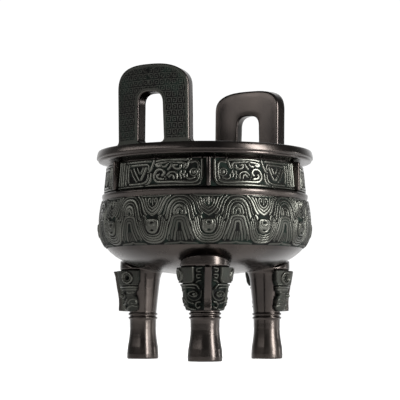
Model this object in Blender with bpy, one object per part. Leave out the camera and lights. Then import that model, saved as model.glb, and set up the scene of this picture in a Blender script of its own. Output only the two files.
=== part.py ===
# Bronze ding: a round-bodied bowl on three column legs, with two upright ears on its rim.
# The vessel is one casting, so every form below is united into one closed solid.
# Metres, +Z up, origin on the ground under the middle of the bowl.
# Azimuth 0 faces -Y and grows towards +X. Ears stand at 90 and 270, legs at 60, 180 and 300.

from math import acos, atan2, ceil, cos, degrees, hypot, pi, radians, sin

import bmesh
import bpy
from mathutils import Matrix, Vector

# Bowl, from its underside up to the shoulder
BELLY_RADIUS = 0.1165
LEG_ROOM = 0.0935
BOWL_DEPTH = 0.0525
BELLY_RISE = 0.0282
BELLY_UPPER_CURVE = 0.106
BOWL_SQUARENESS = 2.4
WALL = 0.005
RING_STEPS_PER_WAVE = 6
INSIDE_STEPS = 40

BELLY_HEIGHT = LEG_ROOM + BOWL_DEPTH
SHOULDER_HEIGHT = BELLY_HEIGHT + BELLY_RISE

# Moulding, neck and rim
MOULDING = 0.0075
NECK_STEP = 0.0067
NECK_TAPER = 0.0035
NECK_RISE = 0.0473
RIM_OVERHANG = 0.0102
RIM_THICKNESS = 0.009
RIM_UNDERCUT = 0.0065
RIM_SOFTNESS = 0.0025

NECK_RADIUS = BELLY_RADIUS - NECK_STEP
RIM_RADIUS = NECK_RADIUS + RIM_OVERHANG
NECK_HEIGHT = SHOULDER_HEIGHT + MOULDING
RIM_HEIGHT = NECK_HEIGHT + NECK_RISE

# Raised band of waves round the belly. The turn, in degrees, is that of belly and neck from the ears.
WAVE_COUNT = 12
BAND_DROP = 0.0246
BAND_RELIEF = 0.0012
ORNAMENT_TURN = 1.8
WAVE_RELIEF = 0.0011
WAVE_EDGE = 0.0009
WAVE_FOOT_MARGIN = 0.0031
WAVE_TROUGH_WIDTH = 0.0110
WAVE_TOP_MARGIN = 0.0020
WAVE_CREST_WIDTH = 0.0077
EYE_RADIUS = 0.0062
EYE_ABOVE_BAND = 0.0226
EYE_RELIEF = 0.0022
ARCH_WIDTH = 0.0024
ARCH_SPAN = 0.0105
ARCH_ABOVE_BAND = 0.0301
ARCH_DEPTH = 0.022
ARCH_ROOT = 0.0032

BAND_BOTTOM = BELLY_HEIGHT - BAND_DROP
EYE_HEIGHT = BAND_BOTTOM + EYE_ABOVE_BAND
ARCH_TOP = BAND_BOTTOM + ARCH_ABOVE_BAND

# Flanges and scrolls on the neck
FLANGE_COUNT = 6
FLANGE_THICKNESS = 0.0035
FLANGE_PROJECTION = 0.0052
NECK_RELIEF = 0.0016
SCROLL_WIDTH = 0.0030
NECK_MARGIN = 0.0022

# Ears, whose widths run along the curve of the rim
EAR_SETBACK = 0.0030
EAR_THICKNESS = 0.0150
EAR_WIDTH = 0.0898
EAR_DRAFT = 0.0030
EAR_RISE = 0.0830
EAR_LEAN = 0.0024
EAR_SHOULDER = 0.027
HOLE_WIDTH = 0.0333
HOLE_TAPER = 0.0020
HOLE_DRAFT = 0.0018
HOLE_RISE = 0.0535
HOLE_SHOULDER = 0.015
ARCH_SQUARENESS = 2.4
ARCH_STEPS = 6
EAR_BORDER = 0.0028
EAR_PANEL_DEPTH = 0.0009
EAR_EDGE = 0.0010

EAR_OUTER_RADIUS = RIM_RADIUS - EAR_SETBACK

# Legs
LEG_COUNT = 3
LEG_INSET = 0.0365
FOOT_RADIUS = 0.0184
WAIST_RADIUS = 0.0152
THIGH_RADIUS = 0.0220
KNEE_RADIUS = 0.0262
KNEE_ABOVE_UNDERSIDE = 0.0070
KNEE_WALL = 0.0096
KNEE_SHOULDER = 0.0030
LEG_FLAT = 0.806
LEG_WRAP = 101.0
FOOT_EDGE = 0.0014
LEG_SIDES = 12

LEG_CIRCLE = BELLY_RADIUS - LEG_INSET
KNEE_HEIGHT = LEG_ROOM + KNEE_ABOVE_UNDERSIDE

# Mask and rings on each leg, measured down from the knee
MASK_LEDGE = 0.0020
MASK_LENGTH = 0.0450
MASK_TURN = 5.5
BROW_DROP = 0.0220
CHEEK_DROP = 0.0345
CHIN_RELIEF = 0.0015
CHEEK_RELIEF = 0.0049
BROW_RELIEF = 0.0065
CROWN_RELIEF = 0.0022
RING_RELIEF = 0.0022
RING_GAP = 0.0033
RING_PITCH = 0.0040
RING_THICKNESS = 0.0026
WAIST_BELOW_RINGS = 0.0092
HORN_RADIUS = 0.0082
HORN_RELIEF = 0.0030
HORN_AZIMUTH = 76.0
HORN_DROP = 0.0090
MASK_EYE_RADIUS = 0.0036
MASK_EYE_RELIEF = 0.0050
MASK_EYE_AZIMUTH = 33.0
MASK_EYE_DROP = 0.0280
NOSE_WIDTH = 0.0082
NOSE_TIP_RELIEF = 0.0100
NOSE_BRIDGE_RELIEF = 0.0052
NOSE_CHIN_RELIEF = 0.0050
NOSE_HOOK = 0.0096
CURL_RADIUS = 0.0036
CURL_RELIEF = 0.0020
CURL_AZIMUTH = 30.0
CURL_DROP = 0.0400

MASK_TOP = KNEE_HEIGHT - MASK_LEDGE
MASK_BROW = MASK_TOP - BROW_DROP
MASK_CHEEK = MASK_TOP - CHEEK_DROP
MASK_BOTTOM = MASK_TOP - MASK_LENGTH
UPPER_RING = MASK_BOTTOM - RING_GAP
LOWER_RING = UPPER_RING - RING_PITCH
WAIST_HEIGHT = LOWER_RING - WAIST_BELOW_RINGS

# How far joined forms reach into each other, and how strokes and bosses narrow to their tops
SINK = 0.0012
STROKE_TOP = 0.7
BOSS_TOP = 0.7
LONGEST_CHORD = 0.018

BRONZE_COLOUR = (0.062, 0.052, 0.043, 1.0)
BRONZE_ROUGHNESS = 0.38


def at(radius, azimuth, height):
    """A point of the vessel from its radius, azimuth in degrees and height."""
    turn = radians(azimuth)
    return Vector((radius * sin(turn), -radius * cos(turn), height))


def smooth(share):
    """An S-shaped rise from 0 to 1."""
    share = min(max(share, 0.0), 1.0)
    return share * share * (3 - 2 * share)


def bowl_radius(height, thinner=0.0):
    """Radius of the bare bowl at a height, or of its inside where thinner is the wall."""
    widest = BELLY_RADIUS - thinner
    if height >= BELLY_HEIGHT:
        return widest - (height - BELLY_HEIGHT) ** 2 / (2 * BELLY_UPPER_CURVE)
    depth = BELLY_HEIGHT - LEG_ROOM - thinner
    share = min((BELLY_HEIGHT - height) / depth, 1.0)
    return widest * (1 - share ** BOWL_SQUARENESS) ** (1 / BOWL_SQUARENESS)


def bowl_depth(radius, thinner=0.0):
    """Height of the bowl's underside at a radius, the other way round."""
    widest = BELLY_RADIUS - thinner
    depth = BELLY_HEIGHT - LEG_ROOM - thinner
    share = min(radius / widest, 1.0)
    return BELLY_HEIGHT - depth * (1 - share ** BOWL_SQUARENESS) ** (1 / BOWL_SQUARENESS)


def neck_radius(height):
    """Radius of the neck, which draws in a little towards the rim."""
    share = (height - NECK_HEIGHT) / (RIM_HEIGHT - NECK_HEIGHT)
    return NECK_RADIUS - NECK_TAPER * share


def new_object(name, bm):
    bmesh.ops.remove_doubles(bm, verts=bm.verts, dist=1e-6)
    bmesh.ops.recalc_face_normals(bm, faces=bm.faces)
    mesh = bpy.data.meshes.new(name)
    bm.to_mesh(mesh)
    bm.free()
    thing = bpy.data.objects.new(name, mesh)
    bpy.context.scene.collection.objects.link(thing)
    return thing


def turned(name, profile, steps):
    """A solid turned about the vessel's axis from (radius, height) pairs that start and end on it."""
    bm = bmesh.new()
    points = [bm.verts.new(at(radius, 0.0, height)) for radius, height in profile]
    edges = [bm.edges.new(pair) for pair in zip(points, points[1:])]
    bmesh.ops.spin(
        bm, geom=points + edges, cent=(0, 0, 0), axis=(0, 0, 1), angle=2 * pi,
        steps=steps, use_merge=True, use_duplicate=False,
    )
    return new_object(name, bm)


def loft(bm, sections):
    """A closed solid through sections that have the same number of points."""
    rings = [[bm.verts.new(point) for point in section] for section in sections]
    count = len(rings[0])
    for lower, upper in zip(rings, rings[1:]):
        for i in range(count):
            j = (i + 1) % count
            bm.faces.new((lower[i], lower[j], upper[j], upper[i]))
    bm.faces.new(rings[0])
    bm.faces.new(rings[-1])


def finer(path, longest):
    """The same path with its long runs split, so that a stroke follows a round surface."""
    points = [path[0]]
    for (x, y), (next_x, next_y) in zip(path, path[1:]):
        count = max(1, ceil(abs(next_x - x) / longest))
        for i in range(1, count + 1):
            share = i / count
            points.append((x + (next_x - x) * share, y + (next_y - y) * share))
    return points


def stroke(bm, path, width, relief, root, place):
    """A raised stroke along a path of (across, up) pairs. place turns across, up and lift to a point.

    root is how far the stroke's foot lies below its ground.
    """
    sections = []
    for i, (x, y) in enumerate(path):
        before = Vector(path[max(i - 1, 0)])
        after = Vector(path[min(i + 1, len(path) - 1)])
        along = (after - before).normalized()
        side = Vector((-along.y, along.x)) * width / 2
        top = side * STROKE_TOP
        sections.append([
            place(x - side.x, y - side.y, -root),
            place(x - top.x, y - top.y, relief),
            place(x + top.x, y + top.y, relief),
            place(x + side.x, y + side.y, -root),
        ])
    loft(bm, sections)


def boss(bm, centre, outward, radius, relief, sides):
    """A low round boss on an upright surface, with its base sunk."""
    across = Vector((0, 0, 1)).cross(outward).normalized()
    up = outward.cross(across)
    sections = []
    for size, lift in ((1.0, -SINK), (BOSS_TOP, relief)):
        ring = []
        for i in range(sides):
            turn = 2 * pi * (i + 0.5) / sides
            offset = across * cos(turn) + up * sin(turn)
            ring.append(centre + outward * lift + offset * radius * size)
        sections.append(ring)
    loft(bm, sections)


# Bowl, neck and rim

def wave_edge(azimuth, low, high, start, stop):
    """Height of one edge of the wave ribbon: low at each trough and high at each crest."""
    period = 360.0 / WAVE_COUNT
    from_trough = abs((azimuth + period / 2) % period - period / 2)
    share = (from_trough / (period / 2) - start) / (stop - start)
    return low + (high - low) * smooth(share)


def wave_rows():
    """The ribbon's four rows, from its lower foot to its upper foot, with a plain row on each side."""
    foot = BAND_BOTTOM + WAVE_FOOT_MARGIN
    crest = SHOULDER_HEIGHT - WAVE_TOP_MARGIN
    trough = foot + WAVE_TROUGH_WIDTH
    crest_foot = crest - WAVE_CREST_WIDTH
    lower = (foot, crest_foot, 0.38, 1.0)
    upper = (trough, crest, 0.12, 0.80)
    below = ((BAND_BOTTOM + foot) / 2, (BAND_BOTTOM + crest_foot) / 2, 0.38, 1.0)
    above = ((SHOULDER_HEIGHT + trough) / 2, (SHOULDER_HEIGHT + crest) / 2, 0.12, 0.80)
    return (
        (below, 0.0, BAND_RELIEF),
        (lower, -WAVE_EDGE, BAND_RELIEF),
        (lower, 0.0, BAND_RELIEF + WAVE_RELIEF),
        (upper, 0.0, BAND_RELIEF + WAVE_RELIEF),
        (upper, WAVE_EDGE, BAND_RELIEF),
        (above, 0.0, BAND_RELIEF),
    )


def turned_with_ornament(thing):
    """Turns a form of belly or neck about the vessel's axis, as the casting has it against its ears."""
    thing.data.transform(Matrix.Rotation(radians(ORNAMENT_TURN), 4, "Z"))
    return thing


def build_bowl():
    neck_top = RIM_HEIGHT - RIM_THICKNESS - RIM_UNDERCUT
    widest = RIM_HEIGHT - RIM_THICKNESS
    lip = RIM_RADIUS - RIM_SOFTNESS
    rows = wave_rows()
    span = SHOULDER_HEIGHT - BAND_BOTTOM
    plain = [BAND_BOTTOM + span * (i + 1) / (len(rows) + 1) for i in range(len(rows))]
    profile = [(0.0, LEG_ROOM)]
    for share in (0.45, 0.73, 0.88):
        profile.append((BELLY_RADIUS * share, bowl_depth(BELLY_RADIUS * share)))
    profile.append((bowl_radius(BAND_BOTTOM), BAND_BOTTOM))
    profile.append((bowl_radius(BAND_BOTTOM) + BAND_RELIEF, BAND_BOTTOM + WAVE_EDGE))
    profile += [(bowl_radius(height) + BAND_RELIEF, height) for height in plain]
    profile += [
        (bowl_radius(SHOULDER_HEIGHT) + BAND_RELIEF, SHOULDER_HEIGHT - WAVE_EDGE),
        (bowl_radius(SHOULDER_HEIGHT) - SINK, SHOULDER_HEIGHT),
        (neck_radius(NECK_HEIGHT) + NECK_RELIEF, NECK_HEIGHT - WAVE_EDGE),
        (neck_radius(NECK_HEIGHT), NECK_HEIGHT),
        (neck_radius(neck_top), neck_top),
        (lip, widest - RIM_UNDERCUT / 3),
        (RIM_RADIUS, widest),
        (lip + RIM_SOFTNESS / 3, RIM_HEIGHT - RIM_SOFTNESS / 3),
        (lip - RIM_SOFTNESS / 3, RIM_HEIGHT),
        (0.0, RIM_HEIGHT),
    ]
    bowl = turned("bronze_ding", profile, WAVE_COUNT * RING_STEPS_PER_WAVE)
    for vertex in bowl.data.vertices:
        x, y, z = vertex.co
        for height, ((low, high, start, stop), shift, relief) in zip(plain, rows):
            if abs(z - height) < 1e-6:
                azimuth = degrees(atan2(x, -y))
                bent = wave_edge(azimuth, low, high, start, stop) + shift
                vertex.co = at(bowl_radius(bent) + relief, azimuth, bent)
    return turned_with_ornament(bowl)


def build_hollow():
    """The inside of the bowl, open at the rim."""
    floor = LEG_ROOM + WALL
    widest = BELLY_RADIUS - WALL
    mouth = neck_radius(RIM_HEIGHT) - WALL
    profile = [(0.0, floor)]
    for share in (0.55, 0.80, 0.93):
        profile.append((widest * share, bowl_depth(widest * share, WALL)))
    profile += [
        (widest, BELLY_HEIGHT),
        (bowl_radius(SHOULDER_HEIGHT, WALL) - SINK, SHOULDER_HEIGHT),
        (neck_radius(NECK_HEIGHT) - WALL, NECK_HEIGHT + WAVE_EDGE),
        (mouth, RIM_HEIGHT + SINK),
        (0.0, RIM_HEIGHT + SINK),
    ]
    return turned("hollow", profile, INSIDE_STEPS)


# Ears

def arch(foot_half, top_half, rise, shoulder):
    """Outline of an upright arch, from one foot over its rounded top to the other, as (across, up)."""
    root = -RIM_THICKNESS / 2
    half = [(foot_half, root)]
    for i in range(ARCH_STEPS + 1):
        turn = (pi / 2) * i / ARCH_STEPS
        power = 2 / ARCH_SQUARENESS
        across = top_half * max(cos(turn), 0.0) ** power
        half.append((across, rise - shoulder + shoulder * sin(turn) ** power))
    half[-1] = (0.0, rise)
    return half + [(-across, up) for across, up in reversed(half[:-1])]


def build_ears():
    bm = bmesh.new()
    half = EAR_WIDTH / 2
    half_back = half - EAR_DRAFT
    hole_half = HOLE_WIDTH / 2
    hole_half_back = hole_half - HOLE_DRAFT
    front = arch(half, half, EAR_RISE, EAR_SHOULDER)
    back = arch(half_back, half_back, EAR_RISE - EAR_EDGE, EAR_SHOULDER - EAR_DRAFT)
    hole = arch(hole_half, hole_half - HOLE_TAPER, HOLE_RISE, HOLE_SHOULDER)
    hole_back = arch(
        hole_half_back, hole_half_back - HOLE_TAPER, HOLE_RISE - HOLE_DRAFT, HOLE_SHOULDER - HOLE_DRAFT)
    for azimuth in (90.0, 270.0):
        def place(point, lift):
            across, up = point
            radius = EAR_OUTER_RADIUS + lift
            lean = EAR_LEAN * max(up, 0.0) / EAR_RISE
            return at(radius + lean, azimuth + degrees(across / radius), RIM_HEIGHT + up)

        sections = []
        for far, far_back, near, near_back in zip(front, back, hole, hole_back):
            width = hypot(far[0] - near[0], far[1] - near[1])

            def between(inset):
                share = inset / width
                return (far[0] + (near[0] - far[0]) * share, far[1] + (near[1] - far[1]) * share)

            panel_start = between(EAR_BORDER)
            panel_end = between(width - EAR_BORDER)
            sections.append([
                place(far, -EAR_EDGE),
                place(between(EAR_EDGE), 0.0),
                place(panel_start, 0.0),
                place(panel_start, -EAR_PANEL_DEPTH),
                place(panel_end, -EAR_PANEL_DEPTH),
                place(panel_end, 0.0),
                place(near, -EAR_EDGE),
                place(near_back, -EAR_THICKNESS),
                place(far_back, -EAR_THICKNESS),
            ])
        loft(bm, sections)
    return new_object("ears", bm)


# Legs

def leg_radius(height):
    """Radius of the leg's round side: a flared foot, a waist, a thigh and a knee under the bowl."""
    knee_start = KNEE_HEIGHT - 0.25 * (KNEE_HEIGHT - WAIST_HEIGHT)
    if height < WAIST_HEIGHT:
        share = (WAIST_HEIGHT - height) / (WAIST_HEIGHT - FOOT_EDGE)
        return WAIST_RADIUS + (FOOT_RADIUS - WAIST_RADIUS) * smooth(share * 1.05)
    if height < knee_start:
        share = (height - WAIST_HEIGHT) / (knee_start - WAIST_HEIGHT)
        return WAIST_RADIUS + (THIGH_RADIUS - WAIST_RADIUS) * share ** 1.25
    share = (height - knee_start) / (KNEE_HEIGHT - knee_start)
    return THIGH_RADIUS + (KNEE_RADIUS - THIGH_RADIUS) * smooth(share)


def mask_radius(height, relief):
    return leg_radius(height) + relief


def leg_frame(azimuth):
    """Turns a leg's own azimuth, radius and height to a point, with azimuth 0 facing outwards."""
    centre = at(LEG_CIRCLE, azimuth, 0.0)

    def place(own_azimuth, radius, height):
        return centre + at(radius, azimuth + own_azimuth, height)

    return place


def leg_rows():
    """Each row of a leg: its height, its plain radius and its radius where rings and mask wrap it."""
    rows = [(0.0, leg_radius(FOOT_EDGE) - FOOT_EDGE, None), (FOOT_EDGE, leg_radius(FOOT_EDGE), None)]
    rows += [(WAIST_HEIGHT * share, leg_radius(WAIST_HEIGHT * share), None) for share in (0.3, 0.6, 1.0)]
    for height in (LOWER_RING, UPPER_RING):
        low = height - RING_THICKNESS / 2
        rows.append((low, leg_radius(low), None))
        rows.append((height, leg_radius(height), leg_radius(height) + RING_RELIEF))
    rows.append((UPPER_RING + RING_THICKNESS / 2, leg_radius(UPPER_RING), None))
    rows.append((MASK_BOTTOM, leg_radius(MASK_BOTTOM), None))
    rows += [(height, leg_radius(height), mask_radius(height, relief)) for height, relief in (
        (MASK_BOTTOM, CHIN_RELIEF), (MASK_CHEEK, CHEEK_RELIEF),
        (MASK_BROW, BROW_RELIEF), (MASK_TOP, CROWN_RELIEF),
    )]
    rows += [(MASK_TOP, leg_radius(MASK_TOP), None), (KNEE_HEIGHT, KNEE_RADIUS, None)]
    shoulder = KNEE_HEIGHT + KNEE_WALL
    buried = shoulder + KNEE_SHOULDER
    rows.append((shoulder, KNEE_RADIUS, None))
    rows.append((buried, bowl_radius(buried) - SINK - LEG_CIRCLE, None))
    return rows


def build_legs():
    """The three legs. Each is round, and cut off flat on the side that faces the others."""
    bm = bmesh.new()
    corner = 180.0 - degrees(acos(LEG_FLAT))
    front = [LEG_WRAP * i / (LEG_SIDES / 2) for i in range(-LEG_SIDES // 2, LEG_SIDES // 2 + 1)]
    step = (corner - LEG_WRAP) / 2
    turns = [(-corner, False), (-corner + step, False), (-LEG_WRAP - 2.0, False)]
    turns += [(turn, True) for turn in front]
    turns += [(-turn, False) for turn, wrapped in reversed(turns[:3])]
    for index in range(LEG_COUNT):
        place = leg_frame(180.0 + index * 360.0 / LEG_COUNT)
        sections = []
        for height, radius, raised in leg_rows():
            sections.append([
                place(turn, raised if wrapped and raised else radius, height)
                for turn, wrapped in turns
            ])
        loft(bm, sections)
    return new_object("legs", bm)


def build_mask_relief():
    """Horns, nose ridge, eyes and lower curls on each mask."""
    bm = bmesh.new()
    chin = mask_radius(MASK_BOTTOM, CHIN_RELIEF)
    cheek = mask_radius(MASK_CHEEK, CHEEK_RELIEF)
    brow = mask_radius(MASK_BROW, BROW_RELIEF)
    crown = mask_radius(MASK_TOP, CROWN_RELIEF)
    foot = MASK_BOTTOM + SINK
    top = MASK_TOP - SINK
    side_view = [
        (WAIST_RADIUS, foot), (cheek + NOSE_CHIN_RELIEF, foot), (cheek + NOSE_CHIN_RELIEF, MASK_CHEEK),
        (brow + NOSE_BRIDGE_RELIEF, MASK_BROW), (brow + NOSE_BRIDGE_RELIEF, top - NOSE_HOOK),
        (crown + NOSE_TIP_RELIEF, top), (WAIST_RADIUS, top),
    ]
    for index in range(LEG_COUNT):
        azimuth = 180.0 + index * 360.0 / LEG_COUNT
        place = leg_frame(azimuth)
        for side in (-1, 1):
            for own, height, ground, radius, relief, sides in (
                (HORN_AZIMUTH, MASK_TOP - HORN_DROP, brow, HORN_RADIUS, HORN_RELIEF, 10),
                (MASK_EYE_AZIMUTH, MASK_TOP - MASK_EYE_DROP, cheek, MASK_EYE_RADIUS, MASK_EYE_RELIEF, 6),
                (CURL_AZIMUTH, MASK_TOP - CURL_DROP, chin, CURL_RADIUS, CURL_RELIEF, 6),
            ):
                turn = side * own + MASK_TURN
                boss(bm, place(turn, ground, height), at(1.0, azimuth + turn, 0.0), radius, relief, sides)
        outward = at(1.0, azimuth + MASK_TURN, 0.0)
        across = Vector((0, 0, 1)).cross(outward) * NOSE_WIDTH / 2
        loft(bm, [
            [place(MASK_TURN, radius, height) + across * sign for radius, height in side_view]
            for sign in (-1, 1)
        ])
    return new_object("mask_relief", bm)


# Ornament on the bowl

def build_belly_relief():
    """A round eye in each trough of the wave and a small arch under each crest."""
    bm = bmesh.new()
    for index in range(WAVE_COUNT):
        trough = index * 360.0 / WAVE_COUNT
        crest = trough + 180.0 / WAVE_COUNT
        eye_ground = bowl_radius(EYE_HEIGHT) + BAND_RELIEF
        boss(bm, at(eye_ground, trough, EYE_HEIGHT), at(1.0, trough, 0.0), EYE_RADIUS, EYE_RELIEF, 8)

        def place(across, height, lift):
            level = bowl_radius(height) + BAND_RELIEF + lift
            return at(level, crest + degrees(across / BELLY_RADIUS), height)

        half = ARCH_SPAN / 2
        path = [
            (-half, ARCH_TOP - ARCH_DEPTH), (-half * 0.8, ARCH_TOP - half), (-half * 0.35, ARCH_TOP),
            (half * 0.35, ARCH_TOP), (half * 0.8, ARCH_TOP - half), (half, ARCH_TOP - ARCH_DEPTH),
        ]
        # the ground under an arch is flat from row to row, so the arch is rooted deeper
        stroke(bm, path, ARCH_WIDTH, WAVE_RELIEF, ARCH_ROOT, place)
    return turned_with_ornament(new_object("belly_relief", bm))


def build_neck_relief():
    """Six flanges, with a hooked scroll, a bar and an angle between each two, mirrored at each flange."""
    bm = bmesh.new()
    foot = NECK_HEIGHT + SINK
    top = RIM_HEIGHT - RIM_THICKNESS - RIM_UNDERCUT - SINK
    low = foot + NECK_MARGIN
    tall = top - NECK_MARGIN - low
    panel = 360.0 / FLANGE_COUNT
    wide = radians(panel) * NECK_RADIUS
    outer = neck_radius(foot) + FLANGE_PROJECTION
    side_view = [
        (neck_radius(foot) - SINK, foot), (outer, foot),
        (outer, top), (neck_radius(top) - SINK, top),
    ]
    hook = [(0.17, 0.90), (0.075, 0.88), (0.065, 0.20), (0.12, 0.04), (0.45, 0.03),
            (0.49, 0.22), (0.46, 0.48), (0.395, 0.34)]
    bar = [(0.22, 0.55), (0.22, 0.93), (0.47, 0.93)]
    angle = [(0.56, 0.88), (0.70, 0.12), (0.84, 0.88)]
    for index in range(FLANGE_COUNT):
        start = index * panel
        outward = at(1.0, start, 0.0)
        across = Vector((0, 0, 1)).cross(outward) * FLANGE_THICKNESS / 2
        loft(bm, [
            [outward * radius + Vector((0, 0, height)) + across * sign for radius, height in side_view]
            for sign in (-1, 1)
        ])
        facing = 1 if index % 2 else -1
        origin = start if facing == 1 else start + panel

        def place(along, up, lift):
            level = low + up
            return at(neck_radius(level) + lift, origin + facing * degrees(along / NECK_RADIUS), level)

        for path in (hook, bar, angle):
            scaled = [(x * wide, y * tall) for x, y in path]
            stroke(bm, finer(scaled, LONGEST_CHORD), SCROLL_WIDTH, NECK_RELIEF, SINK, place)
        eye = place(0.13 * wide, 0.52 * tall, 0.0)
        boss(bm, eye, Vector((eye.x, eye.y, 0.0)).normalized(), SCROLL_WIDTH, NECK_RELIEF, 6)
    return turned_with_ornament(new_object("neck_relief", bm))


def combine(base, other, operation):
    """Unites the other solid with the base, or cuts it away, and keeps it as a hidden guide."""
    modifier = base.modifiers.new(other.name, "BOOLEAN")
    modifier.operation = operation
    modifier.object = other
    modifier.solver = "EXACT"
    other.hide_render = True
    other.display_type = "WIRE"


def bronze():
    material = bpy.data.materials.new("dark_bronze")
    material.use_nodes = True
    shader = material.node_tree.nodes["Principled BSDF"]
    shader.inputs["Base Color"].default_value = BRONZE_COLOUR
    shader.inputs["Metallic"].default_value = 1.0
    shader.inputs["Roughness"].default_value = BRONZE_ROUGHNESS
    material.diffuse_color = BRONZE_COLOUR
    return material


def main():
    for thing in list(bpy.data.objects):
        bpy.data.objects.remove(thing)
    ding = build_bowl()
    for other in (build_legs(), build_mask_relief(), build_ears(), build_belly_relief(),
                  build_neck_relief()):
        combine(ding, other, "UNION")
    combine(ding, build_hollow(), "DIFFERENCE")
    ding.data.materials.append(bronze())
    ding.data.shade_smooth()
    ding.data.set_sharp_from_angle(angle=radians(35))


main()
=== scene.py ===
from math import acos, atan, cos, degrees, pi, radians, sin, tan

import bmesh
import bpy
import numpy as np
from mathutils import Matrix, Vector


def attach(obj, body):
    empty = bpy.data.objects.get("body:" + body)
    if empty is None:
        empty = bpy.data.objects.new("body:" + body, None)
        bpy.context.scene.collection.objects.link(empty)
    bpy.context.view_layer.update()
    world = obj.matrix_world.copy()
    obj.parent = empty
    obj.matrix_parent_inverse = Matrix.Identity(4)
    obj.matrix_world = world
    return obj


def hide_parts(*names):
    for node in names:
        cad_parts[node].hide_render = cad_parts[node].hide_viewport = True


# Dressed bronze ding. Metres, +Z up. Azimuth 0 faces -Y and grows towards +X.
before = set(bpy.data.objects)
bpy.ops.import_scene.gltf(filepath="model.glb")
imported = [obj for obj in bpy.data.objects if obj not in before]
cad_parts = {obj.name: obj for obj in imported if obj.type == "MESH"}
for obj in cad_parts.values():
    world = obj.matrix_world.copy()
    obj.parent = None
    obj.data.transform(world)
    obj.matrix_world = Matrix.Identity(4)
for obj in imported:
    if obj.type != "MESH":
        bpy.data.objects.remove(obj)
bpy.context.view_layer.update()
print("frame loaded")


def polar(radius, azimuth, height):
    # arrays or numbers to an array of points; azimuth in degrees
    turn = np.radians(azimuth)
    radius, turn, height = np.broadcast_arrays(radius, turn, height)
    return np.stack([radius * np.sin(turn), -radius * np.cos(turn), height], axis=-1)


def ease(share):
    share = np.clip(share, 0.0, 1.0)
    return share * share * (3 - 2 * share)


def table(value, pairs):
    # straight runs through (place, size) pairs
    places, sizes = zip(*pairs)
    return np.interp(value, places, sizes)


def even(value, pairs, reach=2.0):
    # the same with its corners rounded off
    return sum(table(value + reach * step, pairs) for step in (-1, -0.5, 0, 0.5, 1)) / 5


def curved(path, steps=5):
    # a path of few points made round
    points = [np.array(p, float) for p in path]
    if len(points) < 3:
        return points
    closed = np.allclose(points[0], points[-1])
    before = points[-2] if closed else 2 * points[0] - points[1]
    after = points[1] if closed else 2 * points[-1] - points[-2]
    row = [before] + points + [after]
    out = []
    for a, b, c, d in zip(row, row[1:], row[2:], row[3:]):
        for i in range(steps):
            t = i / steps
            out.append(0.5 * (2 * b + (c - a) * t + (2 * a - 5 * b + 4 * c - d) * t * t
                              + (3 * b - a - 3 * c + d) * t ** 3))
    return out + [points[-1]]


def nearest(x, y, path):
    # distance from each point to a path
    best = np.full(len(x), 1e9)
    for a, b in zip(path, path[1:]):
        run = b - a
        length = max(run @ run, 1e-12)
        t = np.clip(((x - a[0]) * run[0] + (y - a[1]) * run[1]) / length, 0, 1)
        best = np.minimum(best, np.hypot(x - a[0] - t * run[0], y - a[1] - t * run[1]))
    return best


def sloped(gap, half, soft):
    # 1 nearer than half and 0 farther, with a slope of soft to either side
    return 1 - ease((gap - half + soft) / (2 * soft))


# half the width in mm of the slope beside a raised line and beside a disc
lineSoft = 0.35
discSoft = 0.4


def ridges(x, y, strokes, groove):
    # 1 on a stroke and 0 beside it; strokes are (width, height share, path) in mm.
    # A groove is kept where one stroke would run into the next.
    level = np.zeros(len(x))
    first = np.full(len(x), 1e9)
    second = first.copy()
    for width, share, path in strokes:
        gap = nearest(x, y, path)
        nearer = gap < first
        level = np.where(nearer, share * sloped(gap, width / 2, lineSoft), level)
        second = np.where(nearer, first, np.minimum(second, gap))
        first = np.where(nearer, gap, first)
    return level * ease((second - first - groove + lineSoft) / (2 * lineSoft))


def ring(x, y, centre, radius, width):
    gap = np.abs(np.hypot(x - centre[0], y - centre[1]) - radius)
    return sloped(gap, width / 2, lineSoft)


def disc(x, y, centre, radius):
    return sloped(np.hypot(x - centre[0], y - centre[1]), radius, discSoft)


def addSheet(bm, columns, rows, shape):
    # a grid bent by shape(u, v), which gives places and wear
    layer = bm.verts.layers.float.get("wear") or bm.verts.layers.float.new("wear")
    made = bmesh.ops.create_grid(bm, x_segments=columns, y_segments=rows, size=0.5)["verts"]
    flat = np.array([v.co[:2] for v in made]) + 0.5
    places, wear = shape(flat[:, 0], flat[:, 1])
    wear = np.broadcast_to(wear, len(made))
    for v, place, amount in zip(made, places.tolist(), wear.tolist()):
        v.co = place
        v[layer] = amount
    return made


def turnOver(bm, made):
    bmesh.ops.reverse_faces(bm, faces=list({f for v in made for f in v.link_faces}))


def fillEnds(bm):
    bmesh.ops.remove_doubles(bm, verts=bm.verts, dist=1e-6)
    bmesh.ops.holes_fill(bm, edges=[e for e in bm.edges if e.is_boundary], sides=0)


def finishPiece(bm, name, material, weld=1e-5, outward=None):
    bmesh.ops.remove_doubles(bm, verts=bm.verts, dist=weld)
    bmesh.ops.recalc_face_normals(bm, faces=bm.faces)
    if outward is not None:
        # one face in 37 is enough to tell which way an open sheet looks
        total = sum(f.normal.dot(outward(f.calc_center_median())) for f in list(bm.faces)[::37])
        if total < 0:
            bmesh.ops.reverse_faces(bm, faces=bm.faces)
    for f in bm.faces:
        f.smooth = True
    mesh = bpy.data.meshes.new(name)
    bm.to_mesh(mesh)
    bm.free()
    piece = bpy.data.objects.new(name, mesh)
    bpy.context.scene.collection.objects.link(piece)
    mesh.materials.append(material)
    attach(piece, "root")
    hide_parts("bronze_ding")
    print(name, sum(len(f.vertices) - 2 for f in mesh.polygons), "triangles")


def fromAxis(point):
    return Vector((point.x, point.y, 0)).normalized()


# Bronze and its patina. wear is 0 in a recess, 1 on a ridge and 2 on plain bronze.

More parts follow.
